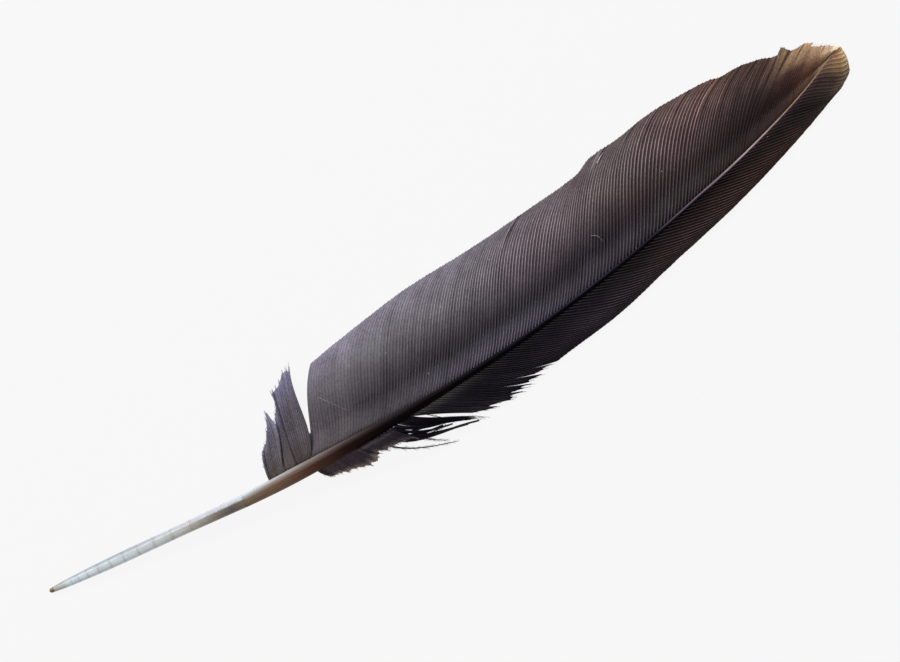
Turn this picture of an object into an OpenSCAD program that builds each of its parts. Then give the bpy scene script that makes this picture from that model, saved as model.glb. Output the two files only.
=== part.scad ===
// A dark flight feather, uncut, as a quill pen is made from.
// It lies with its back up: +X runs from the quill's tip to the vane's tip, +Y towards the
// wide vane and +Z up. The origin is the middle of the footprint, on the table.
// Stations are distances in mm along the chord from the quill's tip. A barb is a curve from
// a root on the shaft to a tip on the vane's edge, and a table's rows describe a few barbs,
// with the others worked out between them.

/* [Size] */
// Length from the quill's tip to the vane's tip, along the chord
feather_len = 153.6; // [125:0.1:200]

/* [Calamus] */
// Outside diameter of the calamus where it is straight
barrel_d = 1.86; // [1.7:0.01:2]
// Thickness of the calamus's horn wall
horn_wall = 0.16; // [0.12:0.01:0.2]
// How steeply the calamus rises from its tip, in degrees
calamus_pitch = 3.4; // [3.2:0.1:3.8]
// Number of dried pulp caps left in the calamus's bore
cap_count = 13; // [5:1:13]
// Thickness of a pulp cap
cap_t = 0.12; // [0.08:0.01:0.2]

/* [Rachis] */
// Thickness of the rachis's wall round its pith
cortex_wall = 0.15; // [0.1:0.01:0.16]
// Depth of the groove along the rachis's underside, as a share of its half width
groove_depth = 0.28; // [0:0.02:0.4]
// How much taller than wide the rachis is towards the vane's tip
rachis_depth = 1.3; // [1:0.05:1.5]

/* [Vanes] */
// Thickness of the webbed vane
web_t = 0.26; // [0.2:0.01:0.3]
// Thickness of a parted clump of barbs
clump_t = 0.2; // [0.16:0.01:0.24]
// Depth of the valley that runs along the wide vane
valley_depth = 0.5; // [0:0.05:0.7]
// Height of the crest that runs along the wide vane
crest_height = 0.6; // [0:0.05:0.8]
// Step in height between clumps that slide over each other
layer_step = 0.45; // [0.42:0.01:0.5]

/* [Hidden] */
nominal_len = 153.6;
mid_station = 76.8;
mid_side = -2.6;

// The shaft: [station, side, height] along its centre
SHAFT = [[0, 0.12, 0.454], [17, -2.45, 1.464], [34, -5.02, 2.474], [46, -6.32, 3.1],
    [60, -7.4, 3.75], [72, -7.98, 4.1], [84, -8.1, 4.25], [96, -7.55, 4.2],
    [108, -6.5, 3.9], [120, -4.85, 3.3], [132, -2.9, 2.5], [144, -0.1, 1.6], [152.6, 2.7, 0.95]];
// The rachis: [station, half width], as shares of the calamus's radius
RACHIS = [[34, 1.18], [42, 1.34], [48, 1.29], [54, 1.18], [60, 1.02], [66, 0.84], [72, 0.65],
    [82, 0.54], [92, 0.45], [102, 0.4], [115, 0.32], [125, 0.24], [138, 0.17], [152.6, 0.11]];
calamus_end = 34;
pith_end = 117;
rachis_end = 152.6;
rachis_rings = 56;
ring_sides = 16;

// The calamus's outline: [distance from the tip, share of its radius]. The tube starts
// where the closed tip ends, and it is a true cylinder between barrel_from and barrel_to.
tip_len = 0.8;
barrel_from = 12;
barrel_to = 24;
CALAMUS = [[tip_len, 0.45], [2.4, 0.64], [4, 0.74], [8, 0.9], [barrel_from, 1],
    [barrel_to, 1], [28, 1.07], [34.5, 1.18]];

// Barbs: [root station, tip station, tip side, tip height, root angle, tip angle]
WIDE = [[46.7, 54.9, 7.5, 1.3, 55, 42], [50, 59.5, 8, 0.9, 54, 26], [60, 74, 9.05, 0.35, 47, 22],
    [70, 86, 8.7, 0.3, 45, 20], [82, 98, 8.8, 0.4, 45, 18], [91, 107.2, 9.15, 0.5, 46, 26],
    [94.5, 110.4, 10.25, 0.35, 47, 30], [100, 116.2, 10.35, 0.3, 48, 18],
    [106, 121.8, 10.85, 0.35, 49, 16], [112, 128.3, 10.6, 0.3, 50, 10],
    [117, 133.4, 10, 0.5, 50, 6], [119, 134.9, 9.45, 0.35, 50, 4], [123, 138.2, 9.25, 0.35, 50, 2],
    [129, 142.2, 8.2, 0.3, 50, 10], [131.3, 144.4, 7.35, 0.4, 50, 30], [133.2, 145.8, 8, 0.5, 50, 48],
    [134.6, 146.7, 6.7, 0.55, 49, 24], [139, 149.2, 6.4, 0.6, 49, 24],
    [147, 152.1, 4.6, 0.7, 46, 34], [152.4, 153.4, 3.2, 0.8, 34, 24]];
NARROW = [[63.5, 74, -14.7, 0.3, -26, -34], [66, 77.2, -15.25, 0.25, -30, -28],
    [68.6, 80.5, -15.45, 0.2, -32, -22], [72, 84.3, -15, 0.25, -32, -18],
    [76, 88.5, -14.15, 0.4, -32, -14], [88, 100.5, -13.35, 0.5, -28, -8],
    [100, 113, -11.25, 0.55, -24, -2], [112, 125.5, -9.2, 0.5, -18, 2],
    [124, 137, -6.6, 0.45, -13, 7], [136, 147, -3.75, 0.4, -9, 12],
    [146, 152.2, -1.7, 0.45, -6, 24], [150, 153.6, 0.9, 0.6, -4, 34], [152.4, 153.6, 2.6, 0.8, 0, 10]];
TUFT = [[39.2, 40.9, 0.2, 2.6, 80, 60], [40.4, 43.2, 2.8, 2.3, 78, 74], [41.6, 45.1, 6.4, 1.9, 69, 80],
    [41.8, 45, 3.1, 2.2, 70, 82], [42.9, 46.4, 5.8, 1.9, 76, 82], [44, 47.2, 7.5, 1.7, 80, 84],
    [44.2, 47.6, 7.9, 1.7, 80, 75], [45.4, 50.9, 9.4, 1.5, 72, 64], [46.5, 52, 9.5, 1.5, 55, 58]];
DOWN = [[46.4, 48.1, -9.8, 2.2, -72, -40], [49.6, 51.6, -10.9, 1.8, -60, -40],
    [53.2, 55.5, -12, 1.4, -52, -38], [53.5, 55.9, -11, 2.4, -54, -48],
    [56.5, 60, -11.8, 2.3, -45, -35], [59.3, 63, -12.2, 2.3, -42, -32]];
STRANDS = [[57, 67.9, -16.05, 0.8, -40, -22], [58.3, 67.6, -12.7, 1.1, -50, 5],
    [59, 66.7, -15.1, 0.95, -42, -32]];
LOCK = [[60.6, 73.2, -15.4, 0.9, -48, -34], [62.8, 74.5, -15.8, 0.8, -46, -44]];

// Roots at which the vanes part into panels and clumps
WIDE_PARTS = [46.8, 60, 71, 80, 89, 97, 108, 119, 131.2, 134, 142, 152.3];
NARROW_PARTS = [75.8, 92, 108, 124, 139, 152.3];
FRINGE_PARTS = [63.5, 65.6, 67.6, 69.6, 71.6, 73.7, 75.8];
// [name, table, first root, last root, share pinched off at the tip, layers up]
CLUMPS = [["tuft_clump_1", TUFT, 39.2, 41.6, 0, 1], ["tuft_clump_2", TUFT, 41.8, 44, 0, 0],
    ["tuft_clump_3", TUFT, 44.2, 46.5, 0, 1], ["down_clump_1", DOWN, 46.4, 53.2, 0, 0],
    ["down_clump_2", DOWN, 53.5, 59.3, 0.2, 1.5], ["black_strand", LOCK, 60.8, 62.8, 0.55, 1]];
// Single loose barbs: [name, roots, layers up]
HAIRS = [["crossing_strand", [58.3], 0], ["fine_strands", [57, 59], -1]];
hair_root_w = 0.25;       // half the width of a loose barb at its root

// Shapes of the curves
barb_reach = 0.36;      // length of a barb's handles, as a share of its chord
root_lift = 0.3;        // height of the roots over the shaft's centre, in half widths
root_gap = 0.05;        // room between a panel's roots and the shaft
swing_gap = 0.2;        // the same for a clump, which swings about its root
part_gap = 0.03;        // half the gap between two panels, as a root station
fit_gap = 0.03;         // room round what sits in the calamus and the rachis
fringe_pinch = 0.45;    // share of a fringe clump's width lost at its tip
valley_at = 0.22;       // place of the valley across the wide vane, as a share of a barb
valley_w = 0.12;
crest_at = 0.58;
crest_w = 0.2;
column_w = 1.8;         // width of a column of facets along the shaft
rows = 12;              // facets along a barb
caps_from = 2.8;        // the first pulp cap, and how the gaps between them grow
cap_step = 1.1;
cap_growth = 0.125;

function two(n) = n < 10 ? str("0", n) : str(n);
function cap_name(n) = str("pulp_cap_", two(n));
function wide_name(n) = str("wide_vane_", two(n));
function fringe_name(n) = str("fringe_clump_", n);
function narrow_name(n) = str("narrow_vane_", n);
function last(list) = len(list) - 1;

// Smooth curve through column c of a table, at station x
function slope(t, k, c) =
    let(a = max(k - 1, 0), b = min(k + 1, last(t))) (t[b][c] - t[a][c]) / (t[b][0] - t[a][0]);
function span(t, x) = max([0, for (k = [0:last(t) - 1]) if (x >= t[k][0]) k]);
function curve(t, x, c) =
    let(i = span(t, x), h = t[i + 1][0] - t[i][0], f = (x - t[i][0]) / h)
    (2 * f ^ 3 - 3 * f ^ 2 + 1) * t[i][c] + (f ^ 3 - 2 * f ^ 2 + f) * h * slope(t, i, c)
    + (3 * f ^ 2 - 2 * f ^ 3) * t[i + 1][c] + (f ^ 3 - f ^ 2) * h * slope(t, i + 1, c);

function shaft(x) = [x, curve(SHAFT, x, 1), curve(SHAFT, x, 2)];
function half_width(x) = barrel_d / 2 * curve(RACHIS, max(x, calamus_end), 1);
function bump(x, at, w) = exp(-((x - at) / w) ^ 2);

// A barb: its row of figures, its root, and the point at share w of its length
function barb(table, root) = [for (c = [0:5]) c == 0 ? root : curve(table, root, c)];
function root_point(x, side, gap, lift) =
    shaft(x) + [0, side * (half_width(x) + gap), half_width(x) * root_lift + lift];
function on_barb(b, side, w, gap, lift) =
    let(p0 = root_point(b[0], side, gap, lift), p3 = [b[1], b[2], b[3] + lift],
        d = barb_reach * norm([p3.x - p0.x, p3.y - p0.y]),
        p1 = [p0.x + d * cos(b[4]), p0.y + d * sin(b[4])],
        p2 = [p3.x - d * cos(b[5]), p3.y - d * sin(b[5])],
        flat = (1 - w) ^ 3 * [p0.x, p0.y] + 3 * (1 - w) ^ 2 * w * p1
            + 3 * (1 - w) * w ^ 2 * p2 + w ^ 3 * [p3.x, p3.y])
    [flat.x, flat.y, p0.z + (p3.z - p0.z) * w];
function swell(w) = crest_height * bump(w, crest_at, crest_w) - valley_depth * bump(w, valley_at, valley_w);

// Faces of a plate over a grid of points, the upper layer first, then the lower
function quad(a, b, c, d) = [[a, b, c], [a, c, d]];
function flat_list(lists) = [for (l = lists) for (x = l) x];
function plate_faces(ni, nj) =
    let(n = (ni + 1) * (nj + 1), row = nj + 1, at = function(i, j) i * row + j,
        lo = function(i, j) n + i * row + j)
    concat(
        flat_list([for (i = [0:ni - 1], j = [0:nj - 1]) concat(
            quad(at(i, j), at(i, j + 1), at(i + 1, j + 1), at(i + 1, j)),
            quad(lo(i, j), lo(i + 1, j), lo(i + 1, j + 1), lo(i, j + 1)))]),
        flat_list([for (i = [0:ni - 1]) concat(
            quad(at(i, 0), at(i + 1, 0), lo(i + 1, 0), lo(i, 0)),
            quad(at(i + 1, nj), at(i, nj), lo(i, nj), lo(i + 1, nj)))]),
        flat_list([for (j = [0:nj - 1]) concat(
            quad(at(0, j + 1), at(0, j), lo(0, j), lo(0, j + 1)),
            quad(at(ni, j), at(ni, j + 1), lo(ni, j + 1), lo(ni, j)))]));
function turned(faces) = [for (f = faces) [f[2], f[1], f[0]]];

// Everything is drawn at the nominal length, then placed on the origin and scaled
module place() {
    scale(feather_len / nominal_len) translate([-mid_station, -mid_side, 0]) children();
}

// A plate made of the barbs from one root to another, pinched together at their tips
module barb_plate(table, from, to, side, t, pinch, gap, lift, waved) {
    columns = max(3, ceil((to - from) / column_w));
    middle = (from + to) / 2;
    points = [for (i = [0:columns]) let(root = from + (to - from) * i / columns)
        for (j = [0:rows]) let(w = j / rows,
            own = on_barb(barb(table, root), side, w, gap, lift),
            centre = on_barb(barb(table, middle), side, w, gap, lift),
            p = own + (centre - own) * pinch * w ^ 3)
        p + [0, 0, waved ? swell(w) : 0]];
    solid_points = concat([for (p = points) p + [0, 0, t / 2]], [for (p = points) p - [0, 0, t / 2]]);
    faces = plate_faces(columns, rows);
    place() polyhedron(solid_points, side > 0 ? faces : turned(faces), convexity = 4);
}

// A loose barb: a narrow plate, square to its own line, that tapers to its tip
function square_to(b, w) =
    let(d = on_barb(b, -1, min(w + 0.02, 1), 0, 0) - on_barb(b, -1, max(w - 0.02, 0), 0, 0))
    unit([-d.y, d.x, 0]);
module hair(root, lift) {
    b = barb(STRANDS, root);
    gap = swing_gap + hair_root_w;
    points = [for (i = [-1, 1]) for (j = [0:rows]) let(w = j / rows)
        on_barb(b, -1, w, gap, lift) + i * hair_root_w * (1 - 0.8 * w) * square_to(b, w)];
    solid_points = concat([for (p = points) p + [0, 0, clump_t / 2]], [for (p = points) p - [0, 0, clump_t / 2]]);
    place() polyhedron(solid_points, turned(plate_faces(1, rows)), convexity = 4);
}

// Turned parts stand on the quill's tip, along the calamus's axis
calamus_yaw = atan2(SHAFT[2].y - SHAFT[0].y, SHAFT[2].x - SHAFT[0].x);
calamus_len = norm(SHAFT[2] - SHAFT[0]);
function calamus_r(d) = barrel_d / 2 * lookup(d, CALAMUS);
function bore_r(d) = calamus_r(d) - horn_wall;
module along_calamus(d) {
    place() translate(SHAFT[0]) rotate([0, 90 - calamus_pitch, calamus_yaw]) translate([0, 0, d])
        children();
}

// The hollow horn tube
module calamus() {
    outer = [for (p = CALAMUS) [calamus_r(p[0]), min(p[0], calamus_len)]];
    inner = [for (i = [last(outer):-1:0]) outer[i] - [horn_wall, 0]];
    color([0.78, 0.8, 0.82, 0.6]) along_calamus(0) rotate_extrude($fn = 48) polygon(concat(outer, inner));
}

// The rounded brown end that closes the tube, with a peg in its bore
module closed_tip() {
    r = calamus_r(tip_len);
    peg = bore_r(tip_len) - fit_gap;
    outline = [[0, 0], [r * 0.55, 0.07], [r * 0.9, 0.3], [r, tip_len], [peg, tip_len],
        [peg, 2 * tip_len], [0, 2 * tip_len]];
    color([0.42, 0.3, 0.18]) along_calamus(0) rotate_extrude($fn = 32) polygon(outline);
}

// A dried membrane across the bore, domed towards the tip
module pulp_cap(n) {
    at = caps_from + cap_step * (n - 1) + cap_growth * (n - 1) * (n - 2);
    r = bore_r(at - cap_t) - fit_gap;
    outline = [[0, -cap_t], [r * 0.6, -cap_t * 0.7], [r, 0], [r, cap_t], [r * 0.6, cap_t * 0.3], [0, 0]];
    color([0.8, 0.76, 0.6]) along_calamus(at) rotate_extrude($fn = 32) polygon(outline);
}

// The plug between the calamus's bore and the pith
module upper_plug() {
    h = 0.7;
    r = bore_r(calamus_len - h) - fit_gap;
    color([0.45, 0.42, 0.36]) along_calamus(calamus_len - h) cylinder(h = h, r = r, $fn = 32);
}

// Rings round the shaft's centre line, square to it
function heading(x) = x <= calamus_end ? SHAFT[2] - SHAFT[0] : shaft(min(x + 0.2, rachis_end)) - shaft(x - 0.2);
function unit(v) = v / norm(v);
function ring(x, r) =
    let(along = unit(heading(x)), across = unit([-along.y, along.x, 0]), up = cross(along, across),
        grown = (x - calamus_end) / (rachis_end - calamus_end),
        tall = 1 + (rachis_depth - 1) * grown, groove = groove_depth * min(1, 4 * grown))
    [for (k = [0:ring_sides - 1]) let(a = 360 * k / ring_sides,
        dent = 1 - groove * bump(abs(a - 270), 0, 30))
        shaft(x) + r * (cos(a) * across + sin(a) * tall * dent * up)];
function tube_faces(n, m, first) = flat_list([for (i = [0:n - 1], k = [0:m - 1])
    quad(first + i * m + k, first + (i + 1) * m + k, first + (i + 1) * m + (k + 1) % m,
        first + i * m + (k + 1) % m)]);

// The shaft's wall: a grooved, tapering tube that is solid towards its tip
module rachis_cortex() {
    outer_at = [for (i = [0:rachis_rings]) calamus_end + (rachis_end - calamus_end) * i / rachis_rings];
    inner_at = [for (x = outer_at) if (x < pith_end) x];
    m = ring_sides;
    outer = flat_list([for (x = outer_at) ring(x, half_width(x))]);
    inner = flat_list([for (x = inner_at) ring(x, half_width(x) - cortex_wall)]);
    start = len(outer);
    mouth = flat_list([for (k = [0:m - 1]) quad(k, (k + 1) % m, start + (k + 1) % m, start + k)]);
    ends = [[for (k = [1:m]) start - k], [for (k = [0:m - 1]) start + len(inner) - m + k]];
    faces = concat(tube_faces(rachis_rings, m, 0), turned(tube_faces(last(inner_at), m, start)), mouth, ends);
    color([0.12, 0.1, 0.1]) place() polyhedron(concat(outer, inner), faces, convexity = 6);
}

// The light, foamy core of the shaft
module rachis_pith() {
    first = calamus_end + 0.5;
    stop = pith_end - 3;
    n = 40;
    at = [for (i = [0:n]) first + (stop - first) * i / n];
    m = ring_sides;
    points = flat_list([for (x = at) ring(x, half_width(x) - cortex_wall - fit_gap)]);
    ends = [[for (k = [0:m - 1]) k], [for (k = [m - 1:-1:0]) n * m + k]];
    color([0.9, 0.88, 0.8]) place() polyhedron(points, concat(tube_faces(n, m, 0), ends), convexity = 6);
}

// A zipped panel of the broad trailing vane
module wide_vane(n) {
    color([0.26, 0.23, 0.25])
        barb_plate(WIDE, WIDE_PARTS[n - 1] + part_gap, WIDE_PARTS[n] - part_gap, 1, web_t, 0, root_gap, 0,
            true);
}

// A zipped panel of the slim leading vane
module narrow_vane(n) {
    color([0.14, 0.12, 0.13])
        barb_plate(NARROW, NARROW_PARTS[n - 1] + part_gap, NARROW_PARTS[n] - part_gap, -1, web_t, 0,
            root_gap, 0, false);
}

// A group of the slim vane's barbs whose tips have parted from the next
module fringe_clump(n) {
    color([0.1, 0.09, 0.1])
        barb_plate(NARROW, FRINGE_PARTS[n - 1] + part_gap, FRINGE_PARTS[n] - part_gap, -1, web_t,
            fringe_pinch, root_gap, 0, false);
}

// A clump of barbs that has come away from the vane
module clump(c) {
    side = c[1] == TUFT ? 1 : -1;
    color([0.3, 0.27, 0.3])
        barb_plate(c[1], c[2], c[3], side, clump_t, c[4], swing_gap, c[5] * layer_step, false);
}

// Single barbs that hang loose beside the slim vane
module loose_barbs(h) {
    color([0.08, 0.07, 0.08]) for (root = h[1]) hair(root, h[2] * layer_step);
}

calamus();
closed_tip();
upper_plug();
rachis_cortex();
rachis_pith();
for (n = [1:cap_count]) pulp_cap(n);
for (n = [1:last(WIDE_PARTS)]) wide_vane(n);
for (n = [1:last(FRINGE_PARTS)]) fringe_clump(n);
for (n = [1:last(NARROW_PARTS)]) narrow_vane(n);
for (c = CLUMPS) clump(c);
for (h = HAIRS) loose_barbs(h);
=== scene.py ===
# %% [markdown]
# # A dark flight feather, uncut, as a quill pen is made from
# The frame holds the measured solids of the feather: the hollow quill, the shaft and flat
# panels that stand for the vanes. This lesson dresses that frame. Each flat panel becomes
# a thin webbed sheet with real barbs on it, and each finish is built from nodes.

# %% Load the frame
import math
import random

import bmesh
import bpy
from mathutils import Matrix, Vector
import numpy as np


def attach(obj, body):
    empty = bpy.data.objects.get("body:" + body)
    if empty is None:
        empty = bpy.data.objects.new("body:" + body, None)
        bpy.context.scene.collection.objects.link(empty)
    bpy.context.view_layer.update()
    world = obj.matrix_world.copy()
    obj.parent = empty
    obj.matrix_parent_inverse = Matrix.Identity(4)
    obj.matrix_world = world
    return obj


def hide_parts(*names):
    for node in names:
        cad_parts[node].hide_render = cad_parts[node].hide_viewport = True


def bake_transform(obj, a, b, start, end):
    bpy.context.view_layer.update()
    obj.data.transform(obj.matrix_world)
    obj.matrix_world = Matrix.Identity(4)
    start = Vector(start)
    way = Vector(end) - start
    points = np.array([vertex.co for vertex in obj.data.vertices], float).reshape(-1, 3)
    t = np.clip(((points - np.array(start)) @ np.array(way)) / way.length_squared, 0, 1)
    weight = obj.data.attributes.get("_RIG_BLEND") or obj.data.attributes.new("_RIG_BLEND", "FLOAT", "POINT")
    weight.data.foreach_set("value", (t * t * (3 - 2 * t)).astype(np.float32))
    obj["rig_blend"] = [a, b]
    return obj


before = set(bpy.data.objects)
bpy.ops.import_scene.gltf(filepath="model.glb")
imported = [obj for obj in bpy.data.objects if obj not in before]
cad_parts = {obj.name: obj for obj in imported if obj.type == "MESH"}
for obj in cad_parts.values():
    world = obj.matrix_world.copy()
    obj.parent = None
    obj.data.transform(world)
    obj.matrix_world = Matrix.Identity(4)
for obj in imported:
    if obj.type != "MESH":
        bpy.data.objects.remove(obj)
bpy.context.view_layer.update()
random.seed(11)

# %% [markdown]
# ## The lines that everything follows
# A feather is drawn with very few lines. Stations are distances in millimetres along the
# chord from the quill's tip, sides are distances across it and heights are above the table.
# The shaft is one smooth curve, and every barb is a curve from a root on the shaft to a tip
# on the vane's edge. A table holds a few barbs and the others are worked out in between, so
# a sheet, a barb and a loose hair that share a table always agree with each other.

# %% The shaft and its width
MM = 0.001
MID_STATION = 76.8
MID_SIDE = -2.6
BARREL_R = 0.93
CALAMUS_END = 34
SHAFT_END = 152.6
SHAFT = [[0, 0.12, 0.454], [17, -2.45, 1.464], [34, -5.02, 2.474], [46, -6.32, 3.1],
    [60, -7.4, 3.75], [72, -7.98, 4.1], [84, -8.1, 4.25], [96, -7.55, 4.2],
    [108, -6.5, 3.9], [120, -4.85, 3.3], [132, -2.9, 2.5], [144, -0.1, 1.6], [152.6, 2.7, 0.95]]
RACHIS = [[34, 1.18], [42, 1.34], [48, 1.29], [54, 1.18], [60, 1.02], [66, 0.84], [72, 0.65],
    [82, 0.54], [92, 0.45], [102, 0.4], [115, 0.32], [125, 0.24], [138, 0.17], [152.6, 0.11]]


def curve(table, x, column):
    """The height of a smooth curve through one column of a table, at station x."""
    k = max([0] + [i for i in range(len(table) - 1) if x >= table[i][0]])

    def slope(i):
        a, b = table[max(i - 1, 0)], table[min(i + 1, len(table) - 1)]
        return (b[column] - a[column]) / (b[0] - a[0])

    step = table[k + 1][0] - table[k][0]
    f = (x - table[k][0]) / step
    return ((2 * f**3 - 3 * f**2 + 1) * table[k][column] + (f**3 - 2 * f**2 + f) * step * slope(k)
            + (3 * f**2 - 2 * f**3) * table[k + 1][column] + (f**3 - f**2) * step * slope(k + 1))


def shaft(x):
    return Vector((x, curve(SHAFT, x, 1), curve(SHAFT, x, 2)))


def half_width(x):
    return BARREL_R * curve(RACHIS, max(x, CALAMUS_END), 1)


def placed(p):
    """A point given as station, side and height, in the frame's metres."""
    return Vector((p[0] - MID_STATION, p[1] - MID_SIDE, p[2])) * MM


def ease(x):
    """0 below 0, 1 above 1 and smooth between them."""
    x = min(max(x, 0), 1)
    return x * x * (3 - 2 * x)


print("shaft: %.2f mm wide where the vane starts, %.2f mm at its tip" % (
    2 * half_width(46), 2 * half_width(SHAFT_END)))

# %% The barbs
# Each row: root station, tip station, tip side, tip height, root angle, tip angle
WIDE = [[46.7, 54.9, 7.5, 1.3, 55, 42], [50, 59.5, 8, 0.9, 54, 26], [60, 74, 9.05, 0.35, 47, 22],
    [70, 86, 8.7, 0.3, 45, 20], [82, 98, 8.8, 0.4, 45, 18], [91, 107.2, 9.15, 0.5, 46, 26],
    [94.5, 110.4, 10.25, 0.35, 47, 30], [100, 116.2, 10.35, 0.3, 48, 18],
    [106, 121.8, 10.85, 0.35, 49, 16], [112, 128.3, 10.6, 0.3, 50, 14],
    [117, 133.4, 10, 0.5, 50, 14], [119, 134.9, 9.45, 0.35, 50, 15], [123, 138.2, 9.25, 0.35, 50, 16],
    [129, 142.2, 8.2, 0.3, 50, 20], [131.3, 144.4, 7.35, 0.4, 50, 30],
    [133.2, 145.8, 8, 0.5, 50, 48], [134.6, 146.7, 6.7, 0.55, 49, 24],
    [139, 149.2, 6.4, 0.6, 49, 24], [147, 152.1, 4.6, 0.7, 46, 34], [152.4, 153.5, 2.85, 0.8, 12, 8]]
NARROW = [[63.5, 74, -14.7, 0.3, -26, -34], [66, 77.2, -15.25, 0.25, -30, -28],
    [68.6, 80.5, -15.45, 0.2, -32, -22], [72, 84.3, -15, 0.25, -32, -18],
    [76, 88.5, -14.15, 0.4, -32, -14], [88, 100.5, -13.35, 0.5, -28, -8],
    [100, 113, -11.25, 0.55, -24, -2], [112, 125.5, -9.2, 0.5, -18, 2],
    [124, 137, -6.6, 0.45, -13, 7], [136, 147, -3.75, 0.4, -9, 12],
    [146, 152.2, -1.7, 0.45, -6, 24], [150, 153.6, 0.9, 0.6, -4, 34], [152.4, 153.6, 2.6, 0.8, 0, 10]]
TUFT = [[39.2, 40.9, 0.2, 2.6, 80, 60], [40.4, 43.2, 2.8, 2.3, 78, 74], [41.6, 45.1, 6.4, 1.9, 69, 80],
    [41.8, 45, 3.1, 2.2, 70, 82], [42.9, 46.4, 5.8, 1.9, 76, 82], [44, 47.2, 7.5, 1.7, 80, 84],
    [44.2, 47.6, 7.9, 1.7, 80, 75], [45.4, 50.9, 9.4, 1.5, 72, 64], [46.5, 52, 9.5, 1.5, 55, 58]]
DOWN = [[46.4, 48.1, -9.8, 2.2, -72, -40], [49.6, 51.6, -10.9, 1.8, -60, -40],
    [53.2, 55.5, -12, 1.4, -52, -38], [53.5, 55.9, -11, 2.4, -54, -48],
    [56.5, 60, -11.8, 2.3, -45, -35], [59.3, 63, -12.2, 2.3, -42, -32]]
STRANDS = [[56.6, 67.9, -16.05, 0.8, -64, -22], [58.3, 67.6, -12.7, 1.1, -56, 2],
    [59, 66.7, -15.1, 0.95, -42, -32]]
LOCK = [[61.2, 73.2, -15.4, 0.9, -46, -34], [63.6, 74.5, -15.8, 0.8, -42, -42]]
BARB_REACH = 0.36
ROOT_SINK, ROOT_LIFT = 0.93, 0.3
LIFTED_AT = 0.25
LAYER_STEP = 0.45


def heading(degrees):
    return Vector((math.cos(math.radians(degrees)), math.sin(math.radians(degrees))))


def barb_line(table, root, side, lift):
    """The curve of one barb, as a function of the share w of its length. Its root sits in the shaft, and
    lift raises it above its own root soon after it leaves the shaft."""
    tip_x, tip_y, tip_z, root_angle, tip_angle = [curve(table, root, c) for c in range(1, 6)]
    half = half_width(root)
    start = shaft(root) + Vector((0, side * half * ROOT_SINK, half * ROOT_LIFT))
    p0, p3 = start.xy, Vector((tip_x, tip_y))
    handle = BARB_REACH * (p3 - p0).length
    p1, p2 = p0 + handle * heading(root_angle), p3 - handle * heading(tip_angle)

    def at(w):
        flat = (1 - w)**3 * p0 + 3 * (1 - w)**2 * w * p1 + 3 * (1 - w) * w**2 * p2 + w**3 * p3
        return Vector((flat.x, flat.y, start.z + (tip_z - start.z) * w + lift * ease(w / LIFTED_AT)))

    return at


sample = barb_line(WIDE, 90, 1, 0)
print("a barb from mid shaft runs %.1f mm out" % (sample(1) - sample(0)).length)

# %% [markdown]
# ## Colours along a feather
# A feather is not one colour. The blade is slate near the quill, umber beyond the middle
# and tan at the worn tip. Across the blade the colours also paint light and shade: a pale
# strip beside the shaft and a paler crest are painted highlight, and a dark valley is
# painted shade. A table of a few colours along the shaft and across the blade, with the
# rest mixed in between, is stored on the mesh's points as an attribute named tint, so that
# it follows the barbs. The materials read it and add the fine variation.

# %% Colour tables
# Each row: root station, then colours in 0 to 255 from the shaft out to the vane's edge
# Across the wide vane the column beside the shaft and the crest are painted highlight, and the valley is
# painted shade, over the vane's own colours.
WIDE_TINT = [[46, (76, 69, 72), (92, 84, 90), (92, 87, 93), (130, 125, 142)],
    [58, (68, 63, 68), (50, 45, 50), (97, 94, 100), (120, 115, 128)],
    [70, (66, 62, 71), (38, 34, 41), (95, 90, 96), (116, 110, 120)],
    [86, (62, 58, 68), (33, 30, 37), (94, 84, 90), (96, 87, 91)],
    [102, (45, 41, 48), (31, 23, 30), (79, 70, 71), (88, 77, 79)],
    [118, (36, 29, 31), (41, 34, 36), (81, 63, 65), (95, 73, 66)],
    [131, (37, 25, 27), (28, 19, 22), (37, 25, 26), (72, 54, 45)],
    [141, (48, 29, 26), (43, 27, 26), (66, 41, 35), (194, 158, 124)],
    [147, (63, 41, 32), (102, 70, 55), (136, 101, 77), (190, 166, 134)],
    [152.6, (186, 157, 131), (220, 186, 155), (218, 196, 167), (224, 213, 192)]]
NARROW_TINT = [[63, (60, 56, 58), (38, 33, 41), (30, 27, 32), (58, 54, 58)],
    [70, (38, 36, 35), (24, 22, 28), (14, 12, 18), (28, 24, 30)],
    [82, (22, 20, 21), (24, 21, 28), (36, 31, 38), (34, 29, 34)],
    [94, (24, 22, 24), (31, 27, 34), (50, 42, 47), (44, 38, 42)],
    [108, (19, 17, 18), (33, 27, 29), (53, 41, 42), (50, 40, 40)],
    [124, (12, 8, 8), (34, 24, 25), (57, 42, 38), (56, 43, 38)],
    [140, (46, 36, 40), (32, 26, 27), (34, 29, 30), (62, 53, 50)],
    [147, (66, 52, 50), (58, 44, 42), (66, 52, 47), (134, 114, 94)],
    [152.6, (155, 126, 106), (168, 134, 108), (200, 158, 112), (230, 208, 168)]]
TUFT_TINT = [[39, (92, 84, 80), (86, 80, 82), (92, 87, 96), (124, 122, 146)],
    [46.5, (76, 68, 68), (74, 68, 72), (84, 79, 88), (120, 118, 142)]]
DOWN_TINT = [[46, (80, 66, 66), (66, 57, 62), (72, 63, 68), (186, 164, 148)],
    [60, (46, 40, 48), (34, 30, 38), (38, 33, 41), (96, 90, 98)]]
BLACK_TINT = [[57, (28, 24, 32), (16, 13, 20), (14, 11, 18), (52, 49, 58)],
    [64, (22, 18, 26), (10, 8, 14), (9, 7, 12), (30, 28, 36)]]
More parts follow.
